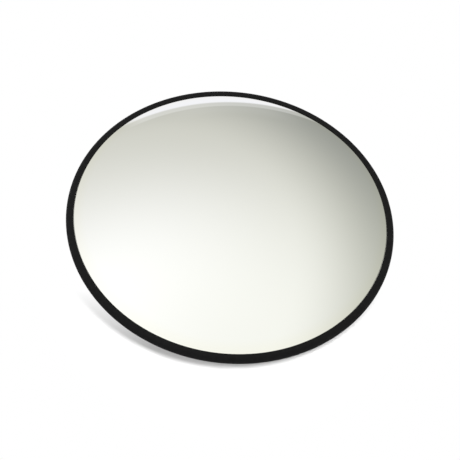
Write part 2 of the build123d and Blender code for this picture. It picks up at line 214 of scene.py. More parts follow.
# ------------------------------------------------------------------ material helpers
class Paint:
    """A node material with one Principled shader, and short calls for the nodes it needs."""

    def __init__(self, name, colour, metallic=0.0, roughness=0.5, **inputs):
        self.material = bpy.data.materials.new(name)
        self.material.use_nodes = True
        self.tree = self.material.node_tree
        self.shader = self.tree.nodes["Principled BSDF"]
        self.shader.inputs["Base Color"].default_value = (*colour, 1)
        self.shader.inputs["Metallic"].default_value = metallic
        self.shader.inputs["Roughness"].default_value = roughness
        for key, value in inputs.items():
            self.shader.inputs[key.replace("_", " ")].default_value = value
        self.place = self.tree.nodes.new("ShaderNodeTexCoord").outputs["Object"]
        self.normal = None

    def link(self, source, target):
        self.tree.links.new(source, target)

    def set(self, key, source):
        self.link(source, self.shader.inputs[key])

    def stretch(self, scale):
        """The object's coordinates scaled by a different amount along each axis."""
        node = self.tree.nodes.new("ShaderNodeMapping")
        node.inputs["Scale"].default_value = scale
        self.link(self.place, node.inputs["Vector"])
        return node.outputs["Vector"]

    def noise(self, scale, detail=3.0, rough=0.5, warp=0.0, place=None):
        node = self.tree.nodes.new("ShaderNodeTexNoise")
        node.inputs["Scale"].default_value = scale
        node.inputs["Detail"].default_value = detail
        node.inputs["Roughness"].default_value = rough
        node.inputs["Distortion"].default_value = warp
        self.link(place or self.place, node.inputs["Vector"])
        return node.outputs["Fac"]

    def patches(self, scale):
        """Crystal-like patches, each with its own value from 0 to 1."""
        cells = self.tree.nodes.new("ShaderNodeTexVoronoi")
        cells.inputs["Scale"].default_value = scale
        self.link(self.place, cells.inputs["Vector"])
        grey = self.tree.nodes.new("ShaderNodeRGBToBW")
        self.link(cells.outputs["Color"], grey.inputs[0])
        return grey.outputs[0]

    def waves(self, axis, scale):
        """Even stripes across one axis, 0 to 1."""
        node = self.tree.nodes.new("ShaderNodeTexWave")
        node.bands_direction = axis
        node.inputs["Scale"].default_value = scale
        self.link(self.place, node.inputs["Vector"])
        return node.outputs["Fac"]

    def turned(self):
        """Distance along the Y axis and distance from it, for marks that run round it."""
        split = self.tree.nodes.new("ShaderNodeSeparateXYZ")
        self.link(self.place, split.inputs[0])
        x_squared = self.math("MULTIPLY", split.outputs["X"], split.outputs["X"])
        z_squared = self.math("MULTIPLY", split.outputs["Z"], split.outputs["Z"])
        return split.outputs["Y"], self.math("SQRT", self.math("ADD", x_squared, z_squared))

    def join(self, first, second):
        """A place built from two distances."""
        node = self.tree.nodes.new("ShaderNodeCombineXYZ")
        self.link(first, node.inputs["X"])
        self.link(second, node.inputs["Y"])
        return node.outputs[0]

    def ramp(self, source, low, high, to_low=0.0, to_high=1.0, smooth_step=True):
        node = self.tree.nodes.new("ShaderNodeMapRange")
        node.interpolation_type = "SMOOTHSTEP" if smooth_step else "LINEAR"
        node.inputs["From Min"].default_value = low
        node.inputs["From Max"].default_value = high
        node.inputs["To Min"].default_value = to_low
        node.inputs["To Max"].default_value = to_high
        self.link(source, node.inputs["Value"])
        return node.outputs["Result"]

    def math(self, kind, first, second=0):
        node = self.tree.nodes.new("ShaderNodeMath")
        node.operation = kind
        for socket, value in zip(node.inputs, (first, second)):
            if isinstance(value, (int, float)):
                socket.default_value = value
            else:
                self.link(value, socket)
        return node.outputs[0]

    def mix(self, factor, first, second):
        node = self.tree.nodes.new("ShaderNodeMix")
        node.data_type = "RGBA"
        self.link(factor, node.inputs["Factor"])
        for socket, value in ((node.inputs["A"], first), (node.inputs["B"], second)):
            if isinstance(value, tuple):
                socket.default_value = (*value, 1)
            else:
                self.link(value, socket)
        return node.outputs["Result"]

    def bump(self, height, distance, strength=1.0):
        node = self.tree.nodes.new("ShaderNodeBump")
        node.inputs["Strength"].default_value = strength
        node.inputs["Distance"].default_value = distance
        self.link(height, node.inputs["Height"])
        if self.normal:
            self.link(self.normal, node.inputs["Normal"])
        self.normal = node.outputs["Normal"]
        self.set("Normal", self.normal)


# ------------------------------------------------------------------ materials
def mirror_acrylic():
    """Silvered acrylic: faint wipe marks, hair scratches, a slight ripple and a warmer edge, which is a
    painted warm fringe of reflection along the rim.
    """
    paint = Paint("mirror_acrylic", (0.95, 0.955, 0.945), 1.0, 0.02)
    wipe = paint.noise(14, 4, 0.6, warp=1.5)
    hairs = paint.noise(900, 2, 0.5, place=paint.stretch((1.0, 0.3, 0.06)))
    scratch = paint.ramp(hairs, 0.70, 0.78, 0.0, 0.05)
    haze = paint.ramp(wipe, 0.45, 0.8, 0.012, 0.05)
    paint.set("Roughness", paint.math("ADD", haze, scratch))
    # Painted reflection: towards its edge the mirror's colour turns warmer, a painted warm fringe along
    # the rim.
    painted_edge_fringe = paint.ramp(paint.turned()[1], 200 * MM, 217 * MM)
    paint.set("Base Color", paint.mix(painted_edge_fringe, (0.95, 0.955, 0.945), (0.945, 0.945, 0.90)))
    paint.bump(paint.noise(9, 1, 0.4), 0.0002, 0.25)
    return paint.material


def rim_rubber():
    """Extruded black rubber: matte, with fine lines round the strip and a trace of dust."""
    paint = Paint("rim_rubber", (0.010, 0.010, 0.0105), 0.0, 0.72, Specular_IOR_Level=0.1)
    dust = paint.ramp(paint.noise(70, 6, 0.7), 0.52, 0.85)
    paint.set("Base Color", paint.mix(dust, (0.0095, 0.0095, 0.0098), (0.021, 0.020, 0.019)))
    paint.set("Roughness", paint.ramp(paint.noise(240, 3), 0.3, 0.7, 0.62, 0.82))
    axial, radial = paint.turned()
    lines = paint.noise(1300, 3, 0.6, place=paint.join(axial, radial))
    paint.bump(lines, 0.0004, 0.7)
    paint.bump(paint.noise(1500, 2), 0.00008, 0.3)
    return paint.material


def hardboard():
    """Tempered hardboard: brown fibre board, its back printed by the press's wire screen."""
    paint = Paint("hardboard", (0.20, 0.105, 0.05), 0.0, 0.62, Specular_IOR_Level=0.35)
    fibre = paint.noise(380, 7, 0.72, warp=0.8)
    fleck = paint.noise(900, 3, 0.6)
    cloud = paint.noise(9, 4, 0.6)
    shade = paint.mix(paint.ramp(fibre, 0.3, 0.72), (0.090, 0.048, 0.026), (0.27, 0.160, 0.088))
    shade = paint.mix(paint.ramp(cloud, 0.35, 0.75, 0.0, 0.45), shade, (0.095, 0.052, 0.028))
    shade = paint.mix(paint.ramp(fleck, 0.66, 0.74, 0.0, 0.5), shade, (0.42, 0.26, 0.14))
    paint.set("Base Color", shade)
    paint.set("Roughness", paint.ramp(fibre, 0.3, 0.7, 0.50, 0.72))
    screen = paint.math("MULTIPLY", paint.waves("X", 640), paint.waves("Z", 640))
    paint.bump(screen, 0.00010, 0.35)
    paint.bump(fibre, 0.00018, 0.45)
    return paint.material


def plywood():
    """Bare birch ply: pale face grain and darker edges where the plies show."""
    paint = Paint("plywood", (0.62, 0.44, 0.26), 0.0, 0.7)
    grain = paint.noise(60, 5, 0.6, warp=0.5, place=paint.stretch((1, 4, 14)))
    plies = paint.waves("Y", 1100)
    face = paint.mix(grain, (0.50, 0.34, 0.19), (0.72, 0.54, 0.34))
    paint.set("Base Color", paint.mix(paint.ramp(plies, 0.55, 0.7, 0.0, 0.3), face, (0.34, 0.20, 0.10)))
    paint.set("Roughness", paint.ramp(grain, 0.3, 0.7, 0.6, 0.8))
    paint.bump(grain, 0.0002, 0.5)
    return paint.material


def zinc_steel():
    """Galvanised steel: spangle patches of slightly different grey, rubbed and a little stained."""
    paint = Paint("zinc_steel", (0.55, 0.56, 0.57), 1.0, 0.36)
    spangle = paint.patches(150)
    marks = paint.noise(60, 6, 0.68, warp=0.7)
    stain = paint.noise(17, 4, 0.6)
    base = paint.mix(paint.ramp(spangle, 0.15, 0.85), (0.46, 0.475, 0.49), (0.60, 0.61, 0.615))
    base = paint.mix(paint.ramp(marks, 0.42, 0.75, 0.0, 0.45), base, (0.70, 0.70, 0.69))
    base = paint.mix(paint.ramp(stain, 0.56, 0.8, 0.0, 0.4), base, (0.30, 0.29, 0.275))
    paint.set("Base Color", base)
    patch = paint.ramp(spangle, 0.1, 0.9, -0.06, 0.06, smooth_step=False)
    wear = paint.ramp(marks, 0.3, 0.75, 0.30, 0.46)
    paint.set("Roughness", paint.math("ADD", patch, wear))
    paint.bump(paint.noise(520, 4), 0.00012, 0.3)
    return paint.material


def zinc_fasteners():
    """Bright zinc plate: clean metal with a faint yellow and blue film."""
    paint = Paint("zinc_fasteners", (0.70, 0.71, 0.72), 1.0, 0.24)
    film = paint.noise(180, 3, 0.6)
    paint.set("Base Color", paint.mix(film, (0.64, 0.67, 0.72), (0.78, 0.75, 0.67)))
    paint.set("Roughness", paint.ramp(paint.noise(420, 4, 0.6), 0.3, 0.75, 0.16, 0.34))
    paint.bump(paint.noise(1600, 3), 0.00005, 0.3)
    return paint.material


def cast_zinc():
    """Die-cast zinc: a soft grainy skin, brighter where it has been rubbed."""
    paint = Paint("cast_zinc", (0.50, 0.51, 0.52), 1.0, 0.42)
    grain = paint.noise(700, 5, 0.65)
    flow = paint.noise(45, 4, 0.6, warp=1.2)
    base = paint.mix(grain, (0.40, 0.41, 0.42), (0.58, 0.59, 0.60))
    paint.set("Base Color", paint.mix(paint.ramp(flow, 0.5, 0.8, 0.0, 0.4), base, (0.70, 0.70, 0.70)))
    paint.set("Roughness", paint.ramp(grain, 0.3, 0.7, 0.34, 0.52))
    paint.bump(grain, 0.00008, 0.5)
    return paint.material


def polished_steel():
    """Chromed bar: nearly a mirror, with drawing lines along it and faint rub marks."""
    paint = Paint("polished_steel", (0.74, 0.75, 0.76), 1.0, 0.10)
    lines = paint.noise(1500, 3, 0.5, place=paint.stretch((1, 0.06, 1)))
    rub = paint.noise(120, 4, 0.6)
    rubbed = paint.ramp(rub, 0.5, 0.8, 0.0, 0.5)
    paint.set("Base Color", paint.mix(rubbed, (0.76, 0.77, 0.78), (0.60, 0.61, 0.63)))
    drawn = paint.ramp(lines, 0.3, 0.7, 0.03, 0.09)
    paint.set("Roughness", paint.math("ADD", drawn, paint.ramp(rub, 0.4, 0.8, 0.0, 0.12)))
    paint.bump(lines, 0.00003, 0.3)
    return paint.material


def moulded_plastic(name, low, high, rough):
    """Moulded plastic with a fine eroded texture and slightly polished high spots."""
    paint = Paint(name, high, 0.0, rough)
    paint.set("Base Color", paint.mix(paint.noise(130, 5, 0.6), low, high))
    paint.set("Roughness", paint.ramp(paint.noise(300, 4), 0.3, 0.7, rough - 0.08, rough + 0.1))
    paint.bump(paint.noise(2400, 3), 0.00010, 0.45)
    return paint.material


def brass():
    """Turned brass with fine tool lines."""
    paint = Paint("brass", (0.72, 0.50, 0.20), 1.0, 0.3)
    lines = paint.noise(900, 3, place=paint.stretch((0.2, 0.2, 1)))
    paint.set("Base Color", paint.mix(lines, (0.62, 0.42, 0.16), (0.78, 0.56, 0.24)))
    paint.set("Roughness", paint.ramp(lines, 0.3, 0.7, 0.22, 0.4))
    return paint.material


materials = {
    "mirror_acrylic": mirror_acrylic(),
    "rim_rubber": rim_rubber(),
    "hardboard": hardboard(),
    "plywood": plywood(),
    "zinc_steel": zinc_steel(),
    "zinc_fasteners": zinc_fasteners(),
    "cast_zinc": cast_zinc(),
    "polished_steel": polished_steel(),
    "nylon_natural": moulded_plastic("nylon_natural", (0.70, 0.67, 0.58), (0.80, 0.77, 0.69), 0.5),
    "black_nylon": moulded_plastic("black_nylon", (0.012, 0.012, 0.013), (0.026, 0.026, 0.027), 0.48),
    "brass": brass(),
}


def dress(piece, slot):
    piece.data.materials.clear()
    piece.data.materials.append(materials[slot])


for part in frame["record"]["subparts"]:
    dress(frame["nodes"][part["node"]], part["material_slot"])


# ------------------------------------------------------------------ mirror head
def make_mirror_dome():
    """The domed mirror: a spherical cap with its back and its narrow flat flange."""
    sphere = (SIGHT_RADIUS**2 + lens_bulge**2) / (2 * lens_bulge)
    centre = lens_apex - sphere
    inner = sphere - LENS_THICKNESS
    edge = outer_radius("mirror_lens")
    outer_edge = math.degrees(math.acos(SIGHT_RADIUS / sphere))
    inner_edge = math.degrees(math.asin((lens_back - centre) / inner))
    profile = arc(centre, sphere, 90, outer_edge, 96)
    profile[0] = (0, lens_apex)
    profile += soften([(*profile[-1], 0), (edge, lens_base, 0.4 * MM), (edge, lens_back, 0.4 * MM)])[1:]
    profile += arc(centre, inner, inner_edge, 90, 48)
    profile[-1] = (0, lens_apex - LENS_THICKNESS)
    bm = bmesh.new()
    lathe(bm, profile, 288)
    add_piece(bm, "mirror_dome", "mirror_acrylic", "mirror_head", "mirror_lens", math.radians(20))


TRIM_WIDTH = 10.5 * MM
TRIM_REAR_WIDTH = 12.0 * MM
TRIM_LIP_EDGE = 0.7 * MM
TRIM_SLOT_DEPTH = 4.2 * MM
TRIM_COLUMNS = 360
LIP_STEPS = 8
BULB_STEPS = 32
SEAM_HALF_GAP = 0.02 * MM
SEAM_CHAMFER = 0.35 * MM


def trim_section(inset):
    """The rubber trim's section: a U-channel with a half-round outside, shrunk by inset."""
    bulb = (trim_front - trim_back) / 2
    middle = (trim_front + trim_back) / 2
    centre = rim_radius - bulb
    sight = rim_radius - TRIM_WIDTH + inset
    rear = rim_radius - TRIM_REAR_WIDTH + inset
    slot = rim_radius - TRIM_SLOT_DEPTH
    lip = lens_base + TRIM_LIP_EDGE - inset / 2
    rear_lip = board_back - TRIM_LIP_EDGE + inset / 2
    points = [(sight, lens_base)]
    for step in range(LIP_STEPS):
        t = step / LIP_STEPS
        rise = math.sin(t * math.pi / 2)
        points.append((sight + (centre - sight) * t, lip + (trim_front - inset - lip) * rise))
    reach = bulb - inset
    for step in range(BULB_STEPS + 1):
        turn = math.pi / 2 - math.pi * step / BULB_STEPS
        points.append((centre + reach * math.cos(turn), middle + reach * math.sin(turn)))
    for step in range(1, LIP_STEPS + 1):
        t = step / LIP_STEPS
        rise = math.cos(t * math.pi / 2)
        points.append((centre - (centre - rear) * t, rear_lip - (rear_lip - trim_back - inset) * rise))
    return points + [(rear, board_back), (slot, board_back), (slot, lens_base)]


def make_trim():
    """Rubber edging pushed over the mirror and its board; its cut ends meet at the bottom."""
    bm = bmesh.new()
    gap = SEAM_HALF_GAP / rim_radius
    chamfer = SEAM_CHAMFER / rim_radius
    turns = [(gap, SEAM_CHAMFER), (gap + chamfer, 0)]
    turns += [(TURN * column / TRIM_COLUMNS, 0) for column in range(1, TRIM_COLUMNS)]
    turns += [(TURN - gap - chamfer, 0), (TURN - gap, SEAM_CHAMFER)]
    rings = []
    for turn, inset in turns:
        side, down = math.sin(turn), -math.cos(turn)
        section = trim_section(inset)
        rings.append([bm.verts.new((radius * side, -out, radius * down)) for radius, out in section])
    for here, there in zip(rings, rings[1:]):
        for step in range(len(here)):
            after = (step + 1) % len(here)
            bm.faces.new((here[step], here[after], there[after], there[step]))
    bm.faces.new(rings[0])
    bm.faces.new(list(reversed(rings[-1])))
    add_piece(bm, "rubber_trim", "rim_rubber", "mirror_head", "edge_gasket")


# ------------------------------------------------------------------ ball joint
CUP_RADIUS = 22 * MM
CUP_CAVITY = 18.15 * MM
CUP_SHOULDER = 2 * MM
CUP_FLANGE_THICKNESS = 3 * MM
CUP_THREAD_PITCH = 2 * MM
CUP_THREAD_DEPTH = 0.9 * MM
CUP_HOLE_CIRCLE = 28 * MM
CUP_HOLE_RADIUS = 2.15 * MM
SEAT_POCKET = 13.8 * MM
SEAT_POCKET_FLOOR = 17.9 * MM


def make_hole_cutter(start, end):
    """Four round cutters for the cup's screw holes, joined as one helper object."""
    bm = bmesh.new()
    for quarter in range(4):
        turn = TURN * quarter / 4
        centre = CUP_HOLE_CIRCLE * Vector((math.cos(turn), 0, math.sin(turn)))
        side = [(0, start), (CUP_HOLE_RADIUS, start), (CUP_HOLE_RADIUS, end), (0, end)]
        lathe(bm, side, 24, Matrix.Translation(centre) @ OUTWARD)
    bmesh.ops.recalc_face_normals(bm, faces=bm.faces)
    mesh = bpy.data.meshes.new("cup_holes")
    bm.to_mesh(mesh)
    bm.free()
    cutter = bpy.data.objects.new("cup_holes", mesh)
    bpy.context.scene.collection.objects.link(cutter)
    return cutter


def make_socket_cup():
    """The cast cup that holds the ball: round flange, filleted shoulder and threaded neck."""
    mouth, back = out_span("socket_cup")
    flange = outer_radius("socket_cup")
    shoulder = back - CUP_FLANGE_THICKNESS
    pocket = math.degrees(math.acos(SEAT_POCKET / CUP_CAVITY))
    neck_end = shoulder - 1.5 * CUP_SHOULDER
    inside = [(CUP_CAVITY, mouth)] + arc(ball_out, CUP_CAVITY, 0, pocket, 16)
    inside += [(SEAT_POCKET, ball_out + SEAT_POCKET_FLOOR), (0, ball_out + SEAT_POCKET_FLOOR)]
    outside = soften([
        (0, back, 0),
        (flange, back, 0.3 * MM),
        (flange, shoulder, 1.0 * MM),
        (CUP_RADIUS + CUP_SHOULDER, shoulder, 2.0 * MM),
        (CUP_RADIUS, neck_end, 0),
    ])
    outside += run(CUP_RADIUS, neck_end, mouth, CUP_THREAD_PITCH / 10)[1:]
    cut = thread(CUP_THREAD_PITCH, CUP_THREAD_DEPTH, mouth, neck_end)

    def neck(turn, radius, height):
        return cut(turn, radius, height) if radius == CUP_RADIUS else (radius, height)

    bm = bmesh.new()
    lathe(bm, outside + inside, 144, wave=neck)
    cup = add_piece(bm, "threaded_cup", "cast_zinc", "mirror_head", "socket_cup")
    subtract(cup, make_hole_cutter(shoulder - MM, back + MM))


RING_GROOVES = 24
RING_GROOVE_DEPTH = 0.9 * MM
RING_GROOVE_HALF_ANGLE = math.radians(4.6)
RING_BORE = 22.15 * MM
RING_LIP = 10.2 * MM
RING_GROOVE_RUNOUT = 2.1 * MM
RING_GROOVE_END = 0.6 * MM
RING_GRIP_FROM_BACK = 4.2 * MM
RING_GRIP_FROM_FRONT = 2.4 * MM
THROAT_SLOPE = math.tan(math.radians(56.3))


def make_locking_ring():
    """The moulded locking ring, scalloped for grip, with a conical mouth round the stud."""
    back, front = out_span("locking_ring")
    radius = outer_radius("locking_ring")
    lip_out = ball_out - RING_LIP
    grip_start = back + RING_GRIP_FROM_BACK
    grip_end = front - RING_GRIP_FROM_FRONT
    profile = soften([
        (RING_LIP * THROAT_SLOPE, lip_out, 0.4 * MM),
        ((ball_out - back) * THROAT_SLOPE, back, 0.5 * MM),
        (radius - 2.5 * MM, back, 1.2 * MM),
        (radius, back + 2.5 * MM, 1.2 * MM),
        (radius, grip_start, 0),
        (radius, grip_start + RING_GROOVE_RUNOUT / 3, 0),
        (radius, grip_start + RING_GROOVE_RUNOUT * 2 / 3, 0),
        (radius, grip_start + RING_GROOVE_RUNOUT, 0),
        (radius, grip_end - RING_GROOVE_END, 0),
        (radius, grip_end, 0),
        (radius - 0.5 * MM, grip_end + 0.2 * MM, 0.1 * MM),
        (radius - 0.5 * MM, front - 0.8 * MM, 0.3 * MM),
        (radius - 1.2 * MM, front, 0.3 * MM),
        (RING_BORE, front, 0.3 * MM),
        (RING_BORE, lip_out, 0.2 * MM),
    ], closed=True)

    def grip(turn, far, height):
        if far < radius - 0.01 * MM or not grip_start < height < grip_end:
            return far, height
        runout = math.sqrt(limit((height - grip_start) / RING_GROOVE_RUNOUT))
        runout *= limit((grip_end - height) / RING_GROOVE_END)
        depth = RING_GROOVE_DEPTH * scallop(turn, RING_GROOVES, RING_GROOVE_HALF_ANGLE)
        return far - depth * runout, height

    bm = bmesh.new()
    lathe(bm, profile, RING_GROOVES * 14, wave=grip, closed=True)
    add_piece(bm, "grip_ring", "black_nylon", "locking_ring", "locking_ring")


STUD_RADIUS = 5 * MM
NECK_RADIUS = 4.5 * MM
STUD_PITCH = 1.5 * MM
STUD_THREAD_DEPTH = 0.75 * MM


def make_ball_stud():
    """The polished ball on its neck, with a screw thread along the shank."""
    thread_end = ball_out - 24 * MM
    neck_angle = math.degrees(math.acos(STUD_RADIUS / ball_radius))
    profile = [(0, stud_tip), (STUD_RADIUS - MM, stud_tip)]
    profile += run(STUD_RADIUS, stud_tip + MM, thread_end, STUD_PITCH / 10)
    profile += soften([
        (STUD_RADIUS, thread_end, 0),
        (NECK_RADIUS, thread_end + 0.8 * MM, 0.4 * MM),
        (NECK_RADIUS, ball_out - 15.6 * MM, 0.9 * MM),
        (STUD_RADIUS, ball_out - ball_radius * math.sin(math.radians(neck_angle)), 0),
    ])[1:]
    profile += arc(ball_out, ball_radius, -neck_angle, 90, 56)[1:]
    profile[-1] = (0, ball_out + ball_radius)
    cut = thread(STUD_PITCH, STUD_THREAD_DEPTH, stud_tip, thread_end)

    def shank(turn, radius, height):
        threaded = radius == STUD_RADIUS and height <= thread_end
        return cut(turn, radius, height) if threaded else (radius, height)

    bm = bmesh.new()
    lathe(bm, profile, 96, wave=shank)
    add_piece(bm, "threaded_ball_stud", "polished_steel", "arm", "ball_stud")


NUT_HALF_WIDTH = 8 * MM
NUT_FACE = 7.7 * MM
NUT_BORE = 5.06 * MM


def make_jam_nut():
    """A thin hexagon nut with a cone chamfer on both faces."""
    back, front = out_span("jam_nut")
    hexagon = NUT_HALF_WIDTH / math.cos(math.radians(30))

    def flats(turn, radius, height):
        if radius <= NUT_FACE:
            return radius, height
        sixth = math.radians(60)
        away = NUT_HALF_WIDTH / math.cos((turn + sixth / 2) % sixth - sixth / 2)
        fall = (away - NUT_FACE) * math.tan(math.radians(30))
        return away, height + fall if height == back else height - fall

    profile = [
        (NUT_BORE, back + 0.5 * MM),
        (NUT_BORE + 0.5 * MM, back),
        (NUT_FACE, back),
        (hexagon, back),
        (hexagon, front),
        (NUT_FACE, front),
        (NUT_BORE + 0.5 * MM, front),
        (NUT_BORE, front - 0.5 * MM),
    ]
    bm = bmesh.new()
    lathe(bm, profile, 96, wave=flats, closed=True)
    add_piece(bm, "chamfered_jam_nut", "zinc_fasteners", "arm", "jam_nut", math.radians(20))


# ------------------------------------------------------------------ thumb screw
KNOB_LOBES = 6
KNOB_SCALLOP = 2.7 * MM
KNOB_SCALLOP_HALF_ANGLE = math.radians(17)
KNOB_HUB = 9.0 * MM
THUMB_PITCH = 1.25 * MM
THUMB_THREAD_DEPTH = 0.65 * MM
THUMB_RADIUS = 4 * MM


def thumb_screw_axis():
    low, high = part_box("thumb_screw_stud")
    return Matrix.Translation((0, (low.y + high.y) / 2, 0))


def make_knob():
    """The six-lobed knob: scalloped sides, a soft rounded crown and a pressed-in centre cap."""
    low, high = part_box("thumb_screw_knob")
    bottom, top = low.z, high.z
    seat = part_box("thumb_screw_stud")[1].z
    radius = (high.y - low.y) / 2

    def lobes(turn, far, height):
        if far <= KNOB_HUB:
            return far, height
        reach = limit((far - KNOB_HUB) / (radius - KNOB_HUB))
        depth = KNOB_SCALLOP * scallop(turn, KNOB_LOBES, KNOB_SCALLOP_HALF_ANGLE)
        return far - depth * reach, height

    profile = [(0, seat), (THUMB_RADIUS, seat), (THUMB_RADIUS, bottom + 0.3 * MM)]
    profile += soften([
        (THUMB_RADIUS + 0.3 * MM, bottom, 0),
        (KNOB_HUB - 0.5 * MM, bottom, 0.4 * MM),
        (KNOB_HUB, bottom + 1.6 * MM, 0.4 * MM),
        (radius - 2.6 * MM, bottom + 1.6 * MM, 0.4 * MM),
        (radius - 1.6 * MM, bottom, 0.6 * MM),
        (radius, bottom + 0.4 * MM, 0.8 * MM),
        (radius, top - 2.2 * MM, 1.8 * MM),
        (radius - 3.4 * MM, top, 2.4 * MM),
        (KNOB_HUB + 0.8 * MM, top, 0.3 * MM),
        (KNOB_HUB, top - 0.9 * MM, 0.2 * MM),
        (KNOB_HUB - 0.7 * MM, top - 0.9 * MM, 0.2 * MM),
        (KNOB_HUB - 1.0 * MM, top - 0.1 * MM, 0.5 * MM),
        (0, top - 0.1 * MM, 0),
    ], steps=6)
    bm = bmesh.new()
    lathe(bm, profile, KNOB_LOBES * 32, thumb_screw_axis(), wave=lobes)
    add_piece(bm, "lobed_knob", "black_nylon", "thumb_screw", "thumb_screw_knob")


def make_thumb_stud():
    """The thumb screw's threaded stud, with a plain tip that turns in the pressure pad."""
    low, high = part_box("thumb_screw_stud")
    bottom, top = low.z, high.z
    tip = THUMB_RADIUS / 2
    shoulder = bottom + 2.6 * MM
    profile = soften([(0, bottom, 0), (tip, bottom, 0.4 * MM), (tip, shoulder, 0)])
    profile += [(THUMB_RADIUS - 0.6 * MM, shoulder)]
    profile += run(THUMB_RADIUS, shoulder + 0.6 * MM, top - 0.3 * MM, THUMB_PITCH / 10)
    profile += [(THUMB_RADIUS - 0.3 * MM, top), (0, top)]
    cut = thread(THUMB_PITCH, THUMB_THREAD_DEPTH, shoulder - THUMB_PITCH, top + THUMB_PITCH)

    def shank(turn, radius, height):
        return cut(turn, radius, height) if radius == THUMB_RADIUS else (radius, height)

    bm = bmesh.new()
    lathe(bm, profile, 72, thumb_screw_axis(), wave=shank)
    add_piece(bm, "threaded_thumb_stud", "zinc_fasteners", "thumb_screw", "thumb_screw_stud")


# ------------------------------------------------------------------ wall flange
FLANGE_CORNER = 12 * MM
FLANGE_THICKNESS = 4 * MM
FLANGE_HOLE = 3.25 * MM
FLANGE_HOLE_PLACE = 33 * MM
FLANGE_EDGE = 0.8 * MM
WELD_BEADS = 44
WELD_SIZE = 3 * MM
WELD_CLEARANCE = 0.06 * MM
WELD_ROOT = FLANGE_THICKNESS - 0.8 * MM


def ring_of_edges(bm, points):
    """Joins flat points into a closed loop of edges."""
    verts = [bm.verts.new(point) for point in points]
    return [bm.edges.new((verts[index - 1], verts[index])) for index in range(len(verts))]


def circle(across, up, radius, count):
    """Flat points round a circle."""
    turns = [TURN * step / count for step in range(count)]
    return [(across + radius * math.cos(turn), up + radius * math.sin(turn), 0) for turn in turns]


def make_flange_plate(bm):
    """The square plate with round corners and four screw holes, its edges bevelled."""
    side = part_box("wall_flange")[1].x - FLANGE_CORNER
    outline = []
    for corner in range(4):
        centre = Matrix.Rotation(math.radians(90 * corner), 3, "Z") @ Vector((side, side, 0))
        for step in range(13):
            turn = math.radians(90 * corner + 90 * step / 12)
            outline.append(centre + FLANGE_CORNER * Vector((math.cos(turn), math.sin(turn), 0)))
    edges = ring_of_edges(bm, outline)
    for across in (-FLANGE_HOLE_PLACE, FLANGE_HOLE_PLACE):
        for up in (-FLANGE_HOLE_PLACE, FLANGE_HOLE_PLACE):
            edges += ring_of_edges(bm, circle(across, up, FLANGE_HOLE, 32))
    bmesh.ops.triangle_fill(bm, edges=edges, use_beauty=True)
    raised = bmesh.ops.extrude_face_region(bm, geom=list(bm.faces))["geom"]
    top = [item for item in raised if isinstance(item, bmesh.types.BMVert)]
    bmesh.ops.translate(bm, verts=top, vec=(0, 0, FLANGE_THICKNESS))
    bmesh.ops.recalc_face_normals(bm, faces=bm.faces)
    rims = [edge for edge in bm.edges if edge.calc_face_angle(0) > math.radians(80)]
    bmesh.ops.bevel(bm, geom=rims, offset=FLANGE_EDGE, segments=3, affect="EDGES", profile=0.5)
    bmesh.ops.transform(bm, matrix=OUTWARD, verts=bm.verts)


def make_weld(bm):
    """The weld bead round the tube's foot, laid in overlapping ripples."""
    tube = outer_radius("outer_tube")

    def ripple(turn, radius, height):
        swell = 0.80 + 0.20 * abs(math.sin(turn * WELD_BEADS / 2))
        rise = height - FLANGE_THICKNESS
        if rise < 0 or radius < tube:
            return radius, height
        return tube + (radius - tube) * swell, FLANGE_THICKNESS + rise * swell

    bead = [(tube + WELD_CLEARANCE, WELD_ROOT), (tube + WELD_SIZE, WELD_ROOT)]
    for step in range(9):
        turn = math.pi / 2 * step / 8
        reach = WELD_SIZE * (1 - 0.16 * math.sin(2 * turn))
        out = tube + reach * math.cos(turn) + WELD_CLEARANCE
        bead.append((out, FLANGE_THICKNESS + reach * math.sin(turn)))
    lathe(bm, bead, WELD_BEADS * 6, wave=ripple, closed=True)


def make_wall_flange():
    """The wall plate and the weld that joins the tube to it."""
    bm = bmesh.new()
    make_flange_plate(bm)
    make_weld(bm)
    add_piece(bm, "welded_flange", "zinc_steel", "wall_bracket", "wall_flange", math.radians(40))


make_mirror_dome()
make_trim()
make_socket_cup()
make_locking_ring()
make_ball_stud()
make_jam_nut()
make_knob()
make_thumb_stud()
make_wall_flange()


# ------------------------------------------------------------------ camera, stage and light
FLOOR_HEIGHT = -1.45
CARD_DISTANCE = 2.0
CARD_RADIUS = 0.75
SHADE_FULL = -0.406
SHADE_NONE = -0.208
CARD_LIGHT_OFFSET = Vector((0.0115, -0.0095, -0.122))
CARD_LIGHT_SIZE = 0.012
CARD_LIGHT_POWER = 200
CAMERA_AZIMUTH = math.radians(-4.93)
CAMERA_ELEVATION = math.radians(-34.94)
CAMERA_DISTANCE = 1.386
CAMERA_AIM = Vector((-0.0022, 0, -0.0245))
CAMERA_LENS = 77.72
LAMP_AIM = (0, -0.1, 0)
LAMPS = (
    ("key", (-1.2, -1.6, 1.9), 1.2, 40),
    ("fill_back", (-1.3, 1.6, 0.9), 1.2, 25),
    ("fill_side", (1.8, -0.1, 0.3), 1.0, 12),
)


def heading(azimuth, elevation):
    """A direction in the studio: azimuth 0 is in front of the mirror, 90 to its +X side."""
    return Vector((
        math.sin(azimuth) * math.cos(elevation),
        -math.cos(azimuth) * math.cos(elevation),
        math.sin(elevation),
    ))


def make_camera():
    """Below and in front of the mirror, looking up at it."""
    camera = bpy.data.objects.new("camera", bpy.data.cameras.new("camera"))
    bpy.context.scene.collection.objects.link(camera)
    camera.location = ring_centre + heading(CAMERA_AZIMUTH, CAMERA_ELEVATION) * CAMERA_DISTANCE
    aim = ring_centre + CAMERA_AIM - camera.location
    camera.rotation_mode = "QUATERNION"
    camera.rotation_quaternion = aim.to_track_quat("-Z", "Y")
    camera.data.sensor_width = 36
    camera.data.lens = CAMERA_LENS
    camera.data.clip_end = 60
    bpy.context.scene.camera = camera
    return camera


